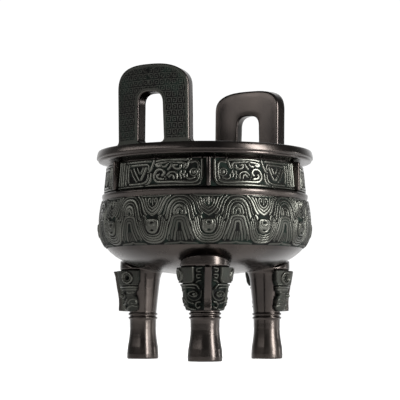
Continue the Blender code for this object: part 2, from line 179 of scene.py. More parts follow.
finish = {
    "brown": (0.060, 0.051, 0.046, 1.0),
    "brownDark": (0.036, 0.031, 0.029, 1.0),
    "polished": (0.090, 0.088, 0.078, 1.0),
    "polishedDark": (0.040, 0.043, 0.036, 1.0),
    "green": (0.004, 0.009, 0.0065, 1.0),
    "sooty": (0.0018, 0.0018, 0.0016, 1.0),
    "roughness": 0.25,
    "ridgeRoughness": 0.26,
    "patinaRoughness": 0.65,
    "specular": 0.08,
    "broadScale": 22.0,
    "fineScale": 420.0,
    "patchScale": 75.0,
    "bumpDistance": 0.0004,
    "bumpStrength": 0.08,
}
black = (0.0, 0.0, 0.0, 1.0)
white = (1.0, 1.0, 1.0, 1.0)


def grey(level):
    return (level, level, level, 1.0)


def node(tree, kind, **values):
    made = tree.nodes.new(kind)
    for key, value in values.items():
        setattr(made, key, value)
    return made


def ramp(tree, source, low, high, first, last):
    made = node(tree, "ShaderNodeValToRGB")
    made.color_ramp.elements[0].position = low
    made.color_ramp.elements[0].color = first
    made.color_ramp.elements[1].position = high
    made.color_ramp.elements[1].color = last
    tree.links.new(source, made.inputs["Fac"])
    return made.outputs["Color"]


def mixColour(tree, factor, first, second):
    made = node(tree, "ShaderNodeMix", data_type="RGBA")
    tree.links.new(factor, made.inputs["Factor"])
    for socket, value in (("A", first), ("B", second)):
        slot = [s for s in made.inputs if s.name == socket and s.type == "RGBA"][0]
        if isinstance(value, tuple):
            slot.default_value = value
        else:
            tree.links.new(value, slot)
    return [s for s in made.outputs if s.type == "RGBA"][0]


def noise(tree, where, scale, detail=4.0):
    made = node(tree, "ShaderNodeTexNoise")
    made.inputs["Scale"].default_value = scale
    made.inputs["Detail"].default_value = detail
    tree.links.new(where, made.inputs["Vector"])
    return made.outputs["Fac"]


def bronze(name, ornament):
    material = bpy.data.materials.new(name)
    material.use_nodes = True
    tree = material.node_tree
    shader = tree.nodes["Principled BSDF"]
    shader.inputs["Metallic"].default_value = 1.0
    shader.inputs["Specular IOR Level"].default_value = finish["specular"]
    where = node(tree, "ShaderNodeTexCoord").outputs["Object"]
    broad = noise(tree, where, finish["broadScale"])
    fine = noise(tree, where, finish["fineScale"], 6.0)
    cloudy = ramp(tree, broad, 0.35, 0.7, black, white)
    brown = mixColour(tree, cloudy, finish["brownDark"], finish["brown"])
    bump = node(tree, "ShaderNodeBump")
    bump.inputs["Distance"].default_value = finish["bumpDistance"]
    bump.inputs["Strength"].default_value = finish["bumpStrength"]
    tree.links.new(fine, bump.inputs["Height"])
    tree.links.new(bump.outputs["Normal"], shader.inputs["Normal"])
    if ornament:
        wear = node(tree, "ShaderNodeAttribute", attribute_name="wear").outputs["Fac"]
        raised = ramp(tree, wear, 0.08, 0.5, black, white)
        patches = ramp(tree, noise(tree, where, finish["patchScale"]), 0.46, 0.66, black, white)
        recess = mixColour(tree, patches, finish["sooty"], finish["green"])
        ridge = mixColour(tree, broad, finish["polished"], finish["polishedDark"])
        dressed = mixColour(tree, raised, recess, ridge)
        plain = node(tree, "ShaderNodeMath", operation="SUBTRACT", use_clamp=True)
        tree.links.new(wear, plain.inputs[0])
        plain.inputs[1].default_value = 1.0
        tree.links.new(mixColour(tree, plain.outputs[0], dressed, brown), shader.inputs["Base Color"])
        tree.links.new(raised, shader.inputs["Metallic"])
        rough = ramp(tree, wear, 0.2, 0.8, grey(finish["patinaRoughness"]), grey(finish["ridgeRoughness"]))
    else:
        tree.links.new(brown, shader.inputs["Base Color"])
        low, high = finish["roughness"] - 0.05, finish["roughness"] + 0.06
        rough = ramp(tree, broad, 0.3, 0.7, grey(low), grey(high))
    tree.links.new(rough, shader.inputs["Roughness"])
    return material


plainBronze = bronze("plain bronze", False)
ornamentBronze = bronze("ornament bronze", True)
print("bronze made")


# Bowl, neck and rim, turned as one closed shell. ornamentTurn in degrees.

bowl = {
    "bellyRadius": 0.1160, "bellyHeight": 0.146, "upperCurve": 0.122,
    "underside": 0.0935, "squareness": 2.4, "wall": 0.005,
    "neckRadius": 0.1103, "neckHeight": 0.1817, "neckTaper": 0.0048,
    "rimHeight": 0.229, "floorReach": 0.104, "steps": 192, "ornamentTurn": 1.8,
    # radius and height
    "moulding": [(0.1127, 0.1744), (0.1130, 0.1748), (0.1134, 0.1760), (0.1138, 0.1775), (0.1140, 0.1789),
                 (0.1138, 0.1800), (0.1131, 0.1809), (0.1119, 0.1814), (0.1108, 0.1816), (0.1098, 0.1817)],
    "neck": [(0.1090, 0.1900), (0.1076, 0.2050), (0.1070, 0.2125)],
    "rim": [(0.1082, 0.2136), (0.1108, 0.2150), (0.1140, 0.2160), (0.1165, 0.2166), (0.1176, 0.2172),
            (0.1181, 0.2182), (0.1178, 0.2190), (0.1180, 0.2196), (0.1194, 0.2199), (0.1199, 0.2206),
            (0.1198, 0.2225), (0.1192, 0.2255), (0.1186, 0.2277), (0.1180, 0.2286), (0.1172, 0.2290),
            (0.1030, 0.2290), (0.1022, 0.2287), (0.1015, 0.2278), (0.1013, 0.2260)],
    "innerNeck": (0.215, 0.20, 0.188, 0.182),
}


def bowlRadius(height, thinner=0.0):
    widest = bowl["bellyRadius"] - thinner
    depth = bowl["bellyHeight"] - bowl["underside"] - thinner
    share = np.clip((bowl["bellyHeight"] - height) / depth, 0, 1)
    lower = widest * (1 - share ** bowl["squareness"]) ** (1 / bowl["squareness"])
    upper = widest - (height - bowl["bellyHeight"]) ** 2 / (2 * bowl["upperCurve"])
    return np.where(height >= bowl["bellyHeight"], upper, lower)


def bowlDepth(radius, thinner=0.0):
    share = radius / (bowl["bellyRadius"] - thinner)
    depth = bowl["bellyHeight"] - bowl["underside"] - thinner
    return bowl["bellyHeight"] - depth * (1 - share ** bowl["squareness"]) ** (1 / bowl["squareness"])


def neckRadius(height):
    share = (height - bowl["neckHeight"]) / (bowl["rimHeight"] - bowl["neckHeight"])
    return bowl["neckRadius"] - bowl["neckTaper"] * share


def makeBowl():
    wall = bowl["wall"]
    outer = [(0.0, bowl["underside"])]
    outer += [(r, bowlDepth(r)) for r in np.linspace(0.012, bowl["floorReach"], 16)]
    outer += [(float(bowlRadius(z)), z) for z in np.linspace(0.1185, 0.1742, 14)]
    outer += bowl["moulding"] + bowl["neck"] + bowl["rim"]
    inner = [(neckRadius(z) - wall, z) for z in bowl["innerNeck"]]
    inner += [(float(bowlRadius(z, wall)), z) for z in np.linspace(0.176, 0.120, 12)]
    inner += [(r, bowlDepth(r, wall)) for r in np.linspace(0.098, 0.012, 14)]
    inner += [(0.0, bowl["underside"] + wall)]
    profile = np.array(outer + inner)
    last = len(profile) - 1

    def shape(u, v):
        radius, height = profile[np.rint(v * last).astype(int)].T
        return polar(radius, u * 360, height), 2.0

    bm = bmesh.new()
    addSheet(bm, bowl["steps"], last, shape)
    finishPiece(bm, "bowl_shell", plainBronze)


makeBowl()


# Band of waves round the belly. Half of one wave is drawn, from its crest to the next trough, in mm.

belly = {
    "bottom": 0.1214, "top": 0.1742, "waves": 12, "relief": 1.1, "ground": 0.0006, "halfWave": 30.9,
    "columns": 70, "rows": 122, "pieces": "abcd", "groove": 0.65, "edgeDrop": 0.0016,
    "bottomEdge": 0.9, "topEdge": 0.7, "steps": 24, "widen": 1.1,
    # the eye in each trough, from the trough's middle and from eyeUp
    "eyeUp": 20.6, "eyeAcross": 7.5, "eyeAbove": 6.8, "eyeBelow": 8.8, "lidPower": 4.0, "bagPower": 2.3,
    "irisUp": 23.0, "irisRadius": 3.6, "irisSquash": 1.25, "dome": 1.0, "domeRise": 0.9,
    # half width, half height and height of what is cut into it
    "pupil": (2.0, 1.1, 23.2), "slit": (2.0, 0.8, 15.4), "cut": 1.1,
}

waveOuter = [(0, 51.5), (6, 50.9), (10, 48.6), (13, 45.3), (15, 40.6), (16.2, 34.5), (18, 31.3),
             (19.3, 26), (20.2, 20), (22, 14.5), (25, 11), (30.9, 10.0)]
waveInner = [(0, 45.3), (4.5, 44), (7.4, 40.6), (9.2, 35.5), (10.2, 30), (11.1, 26), (13.3, 21),
             (14.8, 14.5), (16.8, 9), (19.5, 5.6), (24, 3.4), (30.9, 2.7)]


def between(first, second, share):
    # a path part of the way from one curve to the other
    def spaced(path):
        path = np.array(curved(path))
        run = np.concatenate([[0], np.cumsum(np.hypot(*np.diff(path, axis=0).T))])
        at = np.linspace(0, run[-1], belly["steps"])
        return np.stack([np.interp(at, run, path[:, 0]), np.interp(at, run, path[:, 1])], axis=1)
    return list(spaced(first) * (1 - share) + spaced(second) * share)


# width, height share and path; the wave's slot runs between its two borders
halfWay = belly["steps"] // 2
waveStrokes = [
    (1.4, 1.0, between(waveOuter, waveInner, 0.0)),
    (3.4, 1.0, between(waveOuter, waveInner, 0.5)[:halfWay]),
    (2.6, 0.9, between(waveOuter, waveInner, 0.34)[halfWay:]),
    (2.6, 0.9, between(waveOuter, waveInner, 0.68)[halfWay:]),
    (1.6, 1.0, between(waveOuter, waveInner, 1.0)),
] + [(width + belly["widen"], share, curved(path)) for width, share, path in [
    (2.5, 1.0, [(0, 41.4), (3.6, 39.9), (5.2, 36.8), (5.5, 32.4)]),
    (1.8, 1.0, [(0, 37.5), (1.9, 36.4), (2.5, 34.4), (2.6, 32.2)]),
    (1.5, 0.6, [(0, 30.4), (5.2, 29.8), (7.6, 27.2), (8.7, 23), (10.6, 17.4), (12.6, 11.6), (14.2, 6)]),
    (1.7, 0.34, [(0, 27.4), (3.6, 26.6), (5.4, 23.8), (6.3, 19.6), (8.2, 14), (10, 7.2)]),
    (1.5, 0.42, [(0, 24.6), (2.2, 23.8), (3.1, 20.4), (3.6, 16.4), (5.2, 11), (6.6, 5.6)]),
    (1.4, 0.26, [(1.9, 13.0), (2.2, 10), (2.8, 5.6)]),
    (1.2, 0.30, [(0, 13.2), (0, 5.6)]),
    (1.5, 0.34, [(12.2, 9.0), (13.4, 5.2)]),
    (0.8, 0.34, [(0, 3.6), (3, 2.4), (9, 2.1), (15, 1.9), (19, 1.2)]),
    (1.6, 1.0, [(11.8, 51.2), (15.7, 47.6), (18.6, 41.3), (20.6, 36), (23.2, 32.4)]),
    (1.7, 1.0, [(16.2, 50.6), (19.9, 45.7), (22.6, 39.3), (25.6, 35.0), (30.9, 31.6)]),
    (0.9, 0.9, [(15.6, 51.8), (22, 51.8), (26.5, 51.6), (30.9, 51.8)]),
    (1.3, 1.0, [(21.6, 49.0), (23.4, 43.4), (25.7, 38.8), (30.9, 35.2)]),
    (0.9, 1.0, [(30.9, 38.6), (27.6, 40.6), (25.6, 44.0), (25.4, 47.4), (27.2, 49.0), (29.0, 47.4),
                (28.2, 45.2)]),
    (0.6, 0.9, [(30.9, 49.4), (30.9, 42.2)]),
    (1.6, 0.9, [(18.4, 30.2), (21.4, 30.2), (22.8, 27.2), (22.9, 22), (23.6, 17)]),
]]


def cutOval(across, y, oval):
    halfWidth, halfHeight, middle = oval
    return 1 - ease((np.hypot(across / halfWidth, (y - middle) / halfHeight) - 0.8) / 0.3)


def bellyHeights(x, y):
    # relief in mm over the band's ground, wear, and how near the band's edge each point is
    across = np.abs(x - belly["halfWave"])
    up = y - belly["eyeUp"]
    power = np.where(up > 0, belly["lidPower"], belly["bagPower"])
    tall = np.where(up > 0, belly["eyeAbove"], belly["eyeBelow"])
    # reach is 1 on the eye's outline
    reach = ((across / belly["eyeAcross"]) ** power + (np.abs(up) / tall) ** power) ** (1 / power)
    eye = 1 - ease((reach - 0.97) / 0.06)
    lines = ridges(x, y, waveStrokes, belly["groove"]) * ease((reach - 1.1) / 0.06)
    lid = 1 - ease((np.abs(reach - 0.86) - 0.09) / 0.05)
    fromIris = np.hypot(across, (y - belly["irisUp"]) * belly["irisSquash"])
    iris = 1 - ease((np.abs(fromIris - belly["irisRadius"]) - 0.55) / 0.4)
    cut = np.maximum(cutOval(across, y, belly["pupil"]), cutOval(across, y, belly["slit"]))
    dome = belly["dome"] + belly["domeRise"] * np.sqrt(np.clip(1 - reach ** 2, 0, 1))
    raised = np.maximum(lid, iris)
    fromTop = (belly["top"] - belly["bottom"]) * 1e3 - y
    edge = np.maximum(1 - ease(y / belly["bottomEdge"]), 1 - ease(fromTop / belly["topEdge"]))
    height = np.maximum(lines * belly["relief"], eye * (dome + 0.5 * raised - belly["cut"] * cut))
    wear = np.maximum(lines, eye * np.maximum(raised, 0.45) * (1 - cut))
    return height, wear * (1 - edge), edge


def makeBelly():
    period = 360 / belly["waves"]
    halves = 2 * belly["waves"] // len(belly["pieces"])
    for part, letter in enumerate(belly["pieces"]):
        bm = bmesh.new()
        for index in range(part * halves, (part + 1) * halves):
            crest = (index // 2 + 0.5) * period + bowl["ornamentTurn"]
            side = 1 if index % 2 else -1

            def shape(u, v):
                up = v * (belly["top"] - belly["bottom"]) * 1e3
                lift, wear, edge = bellyHeights(u * belly["halfWave"], up)
                z = belly["bottom"] + up / 1e3
                level = bowlRadius(z) + belly["ground"] + lift / 1e3 - edge * belly["edgeDrop"]
                return polar(level, crest + side * u * period / 2, z), wear

            made = addSheet(bm, belly["columns"], belly["rows"], shape)
            if side == -1:
                turnOver(bm, made)
        finishPiece(bm, "wave_band_" + letter, ornamentBronze, outward=fromAxis)


makeBelly()


# Scroll band on the neck, one panel from flange to flange, in mm, mirrored at each flange

neck = {
    "bottom": 0.1822, "top": 0.2126, "relief": 1.5, "ground": 0.0004, "panels": 6, "perPiece": 3,
    "width": 115.2, "drawnTall": 31.0, "widen": 1.75, "groove": 0.8, "edge": 0.7, "edgeDrop": 0.0012,
    "eye": (13.6, 15.6), "eyeField": 5.2, "eyeRing": (4.0, 1.3), "eyeBall": 2.6, "eyeRise": 1.5,
    # plain ground beside a flange, and the drawing's own x for an x on the panel
    "margin": 1.6, "drawn": [(0, 0), (6.6, 4.2), (15.4, 13.6), (31, 30), (50, 50), (115.2, 115.2)],
    "columns": 224, "rows": 60,
}

flange = {
    "thickness": 0.0046, "depth": 0.010, "height": 0.0312, "radius": 0.1156, "middle": 0.1977,
    "bevel": 0.0015,
}

neckStrokes = [(width * neck["widen"], share, curved(path)) for width, share, path in [
    (1.3, 0.9, [(4.2, 29), (4.2, 19), (4.6, 9.5), (7, 4), (12.5, 2.2), (33, 2.0), (58, 2.0), (84, 1.6),
                (110.8, 1.6)]),
    (1.6, 1.0, [(17, 26.6), (12, 27.2), (8.6, 25.5), (7.6, 19), (8, 11.5), (10, 7), (14, 5.2), (20, 5.0),
                (36, 5.4), (53, 5.6), (57.5, 7.6), (59.2, 12), (57, 17.5), (53, 19.2), (49.5, 18.2),
                (47.6, 15), (49.5, 12.6), (52, 13.5)]),
    (1.5, 1.0, [(17.4, 29), (20, 25.5), (21.4, 21.5), (23.6, 19.4)]),
    (1.7, 1.0, [(21, 29.2), (33.5, 29.2), (48, 29), (56.5, 28)]),
    (1.7, 1.0, [(24.5, 19.5), (23.6, 23.8), (26.5, 26), (33.5, 26.4), (44.5, 26.8), (53, 26.2),
                (57.2, 24.3), (55.5, 22.6), (52, 23.2)]),
    (1.5, 1.0, [(28.2, 23), (28.8, 20.3), (32.5, 19.2), (36.2, 20.8), (36.6, 23.6), (33.4, 23.6)]),
    (1.3, 1.0, [(39, 25), (40.5, 21.4), (43, 19)]),
    (1.3, 1.0, [(43.6, 25.4), (46, 22.3), (49.8, 22)]),
    (1.1, 0.9, [(24.6, 18), (23.5, 15.5), (25.3, 13.3), (24, 10)]),
    (1.1, 0.9, [(27.8, 16.6), (28.8, 12.8), (27.8, 8.8)]),
    (1.2, 1.0, [(32.2, 8.6), (32.8, 14), (36, 16), (40.4, 15.8), (44, 12.5)]),
    (1.2, 1.0, [(36, 8.8), (36.6, 11.8), (39, 13), (41.6, 10.6)]),
    (1.5, 1.0, [(52, 13.5), (54.8, 13), (55.2, 10.4), (52, 8.9), (45.5, 8.7)]),
    (1.5, 1.0, [(60, 29), (61.6, 24), (64, 19), (67, 16.6)]),
    (1.5, 1.0, [(62.8, 14.5), (63.4, 8.5), (66.5, 3.6), (71, 2.4)]),
    (1.4, 0.9, [(64.5, 28.4), (76, 28.4), (99, 28.2)]),
    (1.4, 1.0, [(66.4, 18.5), (66.2, 22.5), (68, 24.8), (75, 25), (91, 24.8)]),
    (1.5, 1.0, [(69.6, 21.6), (73, 14), (77, 7)]),
    (1.5, 1.0, [(77, 7), (82, 14), (87, 21.6)]),
    (1.3, 0.9, [(73.4, 21.6), (77.3, 14)]),
    (1.3, 0.9, [(77.3, 14), (81.6, 21.6)]),
    (1.3, 0.9, [(66.4, 14), (66.8, 9.5), (70.6, 5.4), (80, 4.2), (92, 4.4)]),
    (1.3, 0.9, [(82, 7.4), (87, 13), (91.4, 20.6)]),
    (1.4, 1.0, [(94.6, 26), (94.8, 16), (94, 7)]),
    (1.4, 1.0, [(98.6, 26), (98.8, 16), (98.2, 4.4)]),
    (1.4, 1.0, [(103, 28.6), (103.4, 16), (102.8, 3)]),
    (1.1, 0.8, [(106.8, 28.6), (107, 16), (106.6, 3)]),
    (1.3, 0.9, [(110.8, 29), (110.8, 16), (110.8, 4.4)]),
    (1.1, 0.8, [(13, 9.4), (17.5, 8.2), (21, 9.6), (21.4, 13)]),
    (1.1, 0.8, [(46, 11.4), (46.8, 9.2)]),
]]


def neckHeights(x, y):
    # relief in mm over the band's ground, and wear
    fromFlange = np.minimum(x, neck["width"] - x)
    x = table(x, neck["drawn"])
    fromEye = np.hypot(x - neck["eye"][0], y - neck["eye"][1])
    lines = np.where(fromEye < neck["eyeField"], ring(x, y, neck["eye"], *neck["eyeRing"]),
                     ridges(x, y, neckStrokes, neck["groove"]))
    lines = lines * ease((fromFlange - neck["margin"]) / 0.9)
    ball = np.sqrt(np.clip(1 - (fromEye / neck["eyeBall"]) ** 2, 0, 1))
    height = np.maximum(lines * neck["relief"], ball * neck["eyeRise"])
    return height, np.maximum(lines, 0.7 * ball)


def makeNeck():
    period = 360 / neck["panels"]
    for part, name in enumerate(("neck_band_a", "neck_band_b")):
        bm = bmesh.new()
        for index in range(part * neck["perPiece"], (part + 1) * neck["perPiece"]):
            mirrored = index % 2 == 0

            def shape(u, v):
                y = v * neck["drawnTall"]
                lift, wear = neckHeights(u * neck["width"], y)
                z = neck["bottom"] + v * (neck["top"] - neck["bottom"])
                edge = 1 - ease(np.minimum(y, neck["drawnTall"] - y) / neck["edge"])
                level = neckRadius(z) + neck["ground"] + lift / 1e3 - edge * neck["edgeDrop"]
                turn = index * period + (1 - u if mirrored else u) * period
                return polar(level, turn + bowl["ornamentTurn"], z), wear * (1 - edge)

            made = addSheet(bm, neck["columns"], neck["rows"], shape)
            if mirrored:
                turnOver(bm, made)
        finishPiece(bm, name, ornamentBronze, outward=fromAxis)


def makeFlanges():
    bm = bmesh.new()
    for index in range(neck["panels"]):
        before = set(bm.verts)
        cube = bmesh.ops.create_cube(bm, size=1.0)["verts"]
        bmesh.ops.scale(bm, verts=cube, vec=(flange["thickness"], flange["depth"], flange["height"]))
        bmesh.ops.bevel(bm, geom=list({e for v in cube for e in v.link_edges}), offset=flange["bevel"],
                        segments=3, profile=0.5, affect="EDGES", material=-1)
        made = [v for v in bm.verts if v not in before]
        inward = flange["depth"] / 2 - flange["radius"]
        bmesh.ops.translate(bm, verts=made, vec=(0, inward, flange["middle"]))
        turn = radians(360 / neck["panels"] * index + bowl["ornamentTurn"])
        bmesh.ops.rotate(bm, verts=made, cent=(0, 0, 0), matrix=Matrix.Rotation(turn, 3, "Z"))
    finishPiece(bm, "neck_flanges", plainBronze)


makeNeck()
makeFlanges()


# Ears: a closed band along the arch, with fine squared spirals on the outer face. Sizes in mm but for
# outerRadius and lean.

ear = {
    "outerRadius": 0.1178, "lean": 0.0018, "thick": 15.0, "halfWidth": 44.8, "draft": 3.0, "topDraft": 1.0,
    "rise": 82.8, "shoulder": 27.5, "holeHalf": 16.4, "holeTaper": 1.2, "holeDraft": 1.2, "holeShift": 1.2,
    "holeRise": 53.8, "holeShoulder": 15.0, "squareness": 2.75, "fillet": 4.5, "root": -4.5,
    "straightShare": 0.62, "columns": 360, "faceRows": 56, "border": 2.2, "fieldFrom": 3.4, "footUp": 3.6,
    "relief": 0.275, "pitch": 6.6, "spiralStep": 2.2, "shine": 0.29,
    # border lines: share of the arch's width from its outer edge, and the lines' half width
    "lines": (0.096, 0.904), "lineHalf": 0.022, "lineSoft": 0.014,
    # the cross-section: share across from the outer edge to the hole, and depth behind the face
    "front": [(0.0, 0.9), (0.035, 0.15), (0.06, 0.0), (0.94, 0.0), (0.965, 0.15), (1.0, 0.9)],
    "sides": [(1.0, 4.0), (1.0, 8.0), (1.0, 12.0), (1.0, 14.2), (0.965, 14.85), (0.93, 15.0), (0.75, 15.0),
              (0.5, 15.0), (0.25, 15.0), (0.07, 15.0), (0.035, 14.85), (0.0, 14.2), (0.0, 11.0), (0.0, 7.5),
              (0.0, 4.0), (0.0, 0.9)],
}


def archOutline(s, footHalf, topHalf, rise, shoulder, flare):
    # s runs 0..1 from one foot over the top to the other; flare widens or narrows the foot's fillet
    side = np.where(s < 0.5, 1.0, -1.0)
    t = np.minimum(s, 1 - s) * 2
    bend = ear["straightShare"]
    climb = np.clip(t / bend, 0, 1)
    turn = np.clip((t - bend) / (1 - bend), 0, 1) * pi / 2
    power = 2 / ear["squareness"]
    straight = rise - shoulder
    up = ear["root"] + (straight - ear["root"]) * climb
    up = np.where(t > bend, straight + shoulder * np.sin(turn) ** power, up)
    half = footHalf + (topHalf - footHalf) * climb
    half = np.where(t > bend, topHalf * np.maximum(np.cos(turn), 0) ** power, half)
    low = np.clip(1 - np.maximum(up, 0) / ear["fillet"], 0, 1)
    half = half + flare * ear["fillet"] * (1 - np.sqrt(np.clip(1 - low ** 2, 0, 1)))
    return side * half, up


def squareSpirals(x, y):
    # one squared spiral in each cell, turned about in every other cell
    x, y = x / ear["pitch"], y / ear["pitch"]
    i, j = np.floor(x), np.floor(y)
    a = (x - i - 0.5) * np.where((i + j) % 2 == 0, 1.0, -1.0)
    b = y - j - 0.5
    reach = np.maximum(np.abs(a), np.abs(b)) * ear["pitch"]
    turn = np.arctan2(b, a) / (2 * pi)
    wave = np.abs(((reach / ear["spiralStep"] - turn) % 1.0) - 0.5) * 2
    return ease((wave - 0.25) / 0.5)


def earOrnament(across, up, share, width):
    # wear on the outer face; share runs from the outer edge to the hole, width is between them
    gap = np.minimum(share, 1 - share) * width
    inside = ease((gap - ear["border"]) / 0.5)
    field = squareSpirals(np.abs(across), up) * ease((gap - ear["fieldFrom"]) / 0.5)
    fromLine = np.minimum(*[np.abs(share - line) for line in ear["lines"]])
    height = np.maximum(field, sloped(fromLine, ear["lineHalf"], ear["lineSoft"])) * inside
    foot = ease((up - ear["footUp"]) / 0.5)
    return np.where(inside * foot > 0.5, height * ear["shine"], ear["shine"])


def makeEar(azimuth, name):
    faceAt = np.linspace(0, 1, ear["faceRows"] + 1)
    shares = np.concatenate([faceAt, [p[0] for p in ear["sides"]]])
    depths = np.concatenate([table(faceAt, ear["front"]), [p[1] for p in ear["sides"]]])
    total = len(shares) - 1
    draft, holeDraft = ear["draft"], ear["holeDraft"]
    holeTop = ear["holeHalf"] - ear["holeTaper"]

    def shape(u, v):
        row = np.rint(v * total).astype(int)
        share, depth = shares[row], depths[row]
        back = depth / ear["thick"]
        # outer edge and hole, each in front and at the back
        farX, farUp = archOutline(u, ear["halfWidth"], ear["halfWidth"], ear["rise"], ear["shoulder"], 1.0)
        backX, backUp = archOutline(u, ear["halfWidth"] - draft, ear["halfWidth"] - draft,
                                    ear["rise"] - ear["topDraft"], ear["shoulder"] - draft, 1.0)
        holeX, holeUp = archOutline(u, ear["holeHalf"], holeTop, ear["holeRise"], ear["holeShoulder"], -1.0)
        innerX, innerUp = archOutline(u, ear["holeHalf"] - holeDraft, holeTop - holeDraft,
                                      ear["holeRise"] - holeDraft, ear["holeShoulder"] - holeDraft, -1.0)
        outX = farX + (backX - farX) * back
        outUp = farUp + (backUp - farUp) * back
        inX = holeX + (innerX - holeX) * back + ear["holeShift"]
        inUp = holeUp + (innerUp - holeUp) * back
        x = outX + (inX - outX) * share
        up = outUp + (inUp - outUp) * share
        front = (row <= ear["faceRows"]) & (depth < 0.5)
        level = earOrnament(x, up, share, np.hypot(outX - inX, outUp - inUp))
        wear = np.where(front, level, 2.0)
        depth = depth + np.where(front, (1 - level / ear["shine"]) * ear["relief"], 0.0)
        radius = ear["outerRadius"] - depth / 1e3 + ear["lean"] * np.maximum(up, 0) / ear["rise"]
        turn = azimuth + np.degrees(x / 1e3 / radius)
        return polar(radius, turn, bowl["rimHeight"] + up / 1e3), wear

    bm = bmesh.new()
    addSheet(bm, ear["columns"], total, shape)
    fillEnds(bm)
    finishPiece(bm, name, ornamentBronze, weld=1e-6)


makeEar(-90, "ear_left")
makeEar(90, "ear_right")


# Legs: smooth columns cut flat on the inner side, with two rings. Sizes in mm but for circle and
# underBowl.

leg = {
    "circle": 0.080, "azimuths": (60, 180, 300), "names": ("right", "back", "left"), "maskTurn": 5.5,
    # flat: how far out the flat side is, as a share of the radius; roundShare: columns on the round side
    "flat": 0.806, "roundShare": 0.78, "flatBulge": 0.09, "cornerReach": 32, "cornerSoft": 0.075,
    "kneeFrom": 101, "kneeRadius": 23.9, "kneeArch": 0.88, "kneePower": 0.8, "underBowl": 0.0012,
    # height and radius
    "profile": [(0, 17.8), (0.4, 18.2), (1.2, 18.4), (5.5, 18.4), (13, 17.8), (18, 16.9), (23, 16.1),
                (28, 15.5), (33, 15.2), (40, 15.2), (44.3, 15.4), (45.0, 16.6), (45.9, 17.1), (46.8, 16.6),
                (47.4, 15.3), (48.6, 15.3), (49.2, 16.7), (50.2, 17.1), (51.0, 16.6), (51.6, 15.5),
                (56, 16), (70, 17.5), (80, 18.7), (90, 20), (96, 22), (98.8, 25.0), (99.6, 26), (101, 26.4),
                (105, 26.4), (110.2, 26.2), (110.8, 25.6), (111.2, 24), (111.8, 19), (113, 15), (117, 12)],
    "columns": 72, "rows": 120,
}


def legPlace(azimuth, turn, radius, z):
    # radius and turn about the leg's own middle, azimuth 0 facing out
    return polar(leg["circle"], azimuth, z) + polar(radius, azimuth + turn, 0.0)


def makeLegs():
    corner = 180 - degrees(acos(leg["flat"]))
    roundShare, kneeFrom = leg["roundShare"], leg["kneeFrom"]
    # rows gather where the profile has its points
    heights = np.sort(np.concatenate([[p[0] for p in leg["profile"]], np.linspace(2, 114, 90)]))
    heights = np.interp(np.linspace(0, 1, leg["rows"] + 1), np.linspace(0, 1, len(heights)), heights)
    for azimuth, name in zip(leg["azimuths"], leg["names"]):
        def shape(u, v):
            z = heights[np.rint(v * leg["rows"]).astype(int)]
            radius = table(z, leg["profile"])
            onFlat = u > roundShare
            back = np.clip((u - roundShare) / (1 - roundShare), 0, 1)
            flatTurn = np.degrees(np.arctan2(np.sin(np.radians(corner)) * (1 - 2 * back), -leg["flat"]))
            turn = np.where(onFlat, flatTurn, (2 * u / roundShare - 1) * corner)
            reach = np.where(onFlat, leg["flat"] / -np.cos(np.radians(flatTurn)), 1.0)
            # the corner between round and flat is softened
            toCorner = np.clip(1 - np.abs(np.abs(turn) - corner) / leg["cornerReach"], 0, 1)
            bulge = leg["flatBulge"] * np.sin(pi * back) * onFlat
            reach = reach - leg["cornerSoft"] * toCorner ** 2 + bulge
            # the knee ends in an arch in front, and stays under the inside of the bowl
            ahead = np.maximum(np.cos(np.radians(turn)), 0) ** leg["kneePower"]
            arch = np.where(radius > leg["kneeRadius"], 1 - leg["kneeArch"] * (1 - ahead), 1.0)
            z = np.where(z > kneeFrom, kneeFrom + (z - kneeFrom) * arch, z)
            places = legPlace(azimuth, turn, radius * reach / 1e3, z / 1e3)
            fromMiddle = np.minimum(np.hypot(places[:, 0], places[:, 1]), bowl["floorReach"])
            ceiling = bowlDepth(fromMiddle, bowl["wall"]) - leg["underBowl"]
            places[:, 2] = np.minimum(places[:, 2], ceiling)
            return places, 1.0

        bm = bmesh.new()
        addSheet(bm, leg["columns"], leg["rows"], shape)
        fillEnds(bm)
        finishPiece(bm, "leg_" + name, plainBronze, weld=1e-6)


makeLegs()


# Animal mask on each leg. turn in degrees from the nose, heights in mm.

mask = {
    "bottom": 52.9, "top": 98.8, "columns": 216, "rows": 110, "wrap": 108, "groove": 0.8,
    # middle: the radius at which turns are laid out as mm; depth: of the relief under outer
    "middle": 25.5, "depth": 4.4, "seat": 0.8,
    "outer": [(52, 21.0), (55, 22.4), (58, 23.4), (61, 24.2), (64, 24.9), (70, 25.6), (76, 26.4),
              (80, 27.4), (84, 28.6), (89, 29.6), (95, 30.6), (99, 31.0)],
    "wrapAt": [(52, 78), (55, 95), (58, 98), (62, 96), (66, 95), (69, 93), (71, 86), (73.5, 86), (76, 95),
               (80, 97), (81.0, 96), (81.6, 92), (82.2, 98), (86, 104), (99, 106)],
    "nose": [(52, 28.8), (55, 29.6), (57.5, 29.5), (60, 29.2), (68, 29.5), (72, 30.4), (75, 31.1),
             (78, 31.8), (88, 33.4), (94, 34.9), (97, 36.0), (99, 37.0)],
    "noseHalf": [(53, 4.3), (98, 3.9)],
    "horn": {"from": 13.4, "bottom": 82.0, "corner": 4.5, "ringTurn": 76, "ringUp": 90.4, "ring": 7.0,
             "hole": 2.4},
    "eye": (33.5, 70.5, 2.6), "cheek": 60.0, "cheekTop": 81.6,
    # relief in mm and wear of each form; slabBeside is the slab's share of relief round its ring
    "lift": {"lines": 3.4, "slab": 3.5, "border": 4.1, "ring": 4.6, "inner": 4.0, "eye": 5.6, "cheek": 2.4},
    "worn": {"lines": 1.0, "slab": 0.30, "border": 0.62, "ring": 0.9, "inner": 0.8, "eye": 1.0,
             "cheek": 0.28},
    "slabBeside": 0.5, "holeDepth": 3.6, "grain": 0.12,
}

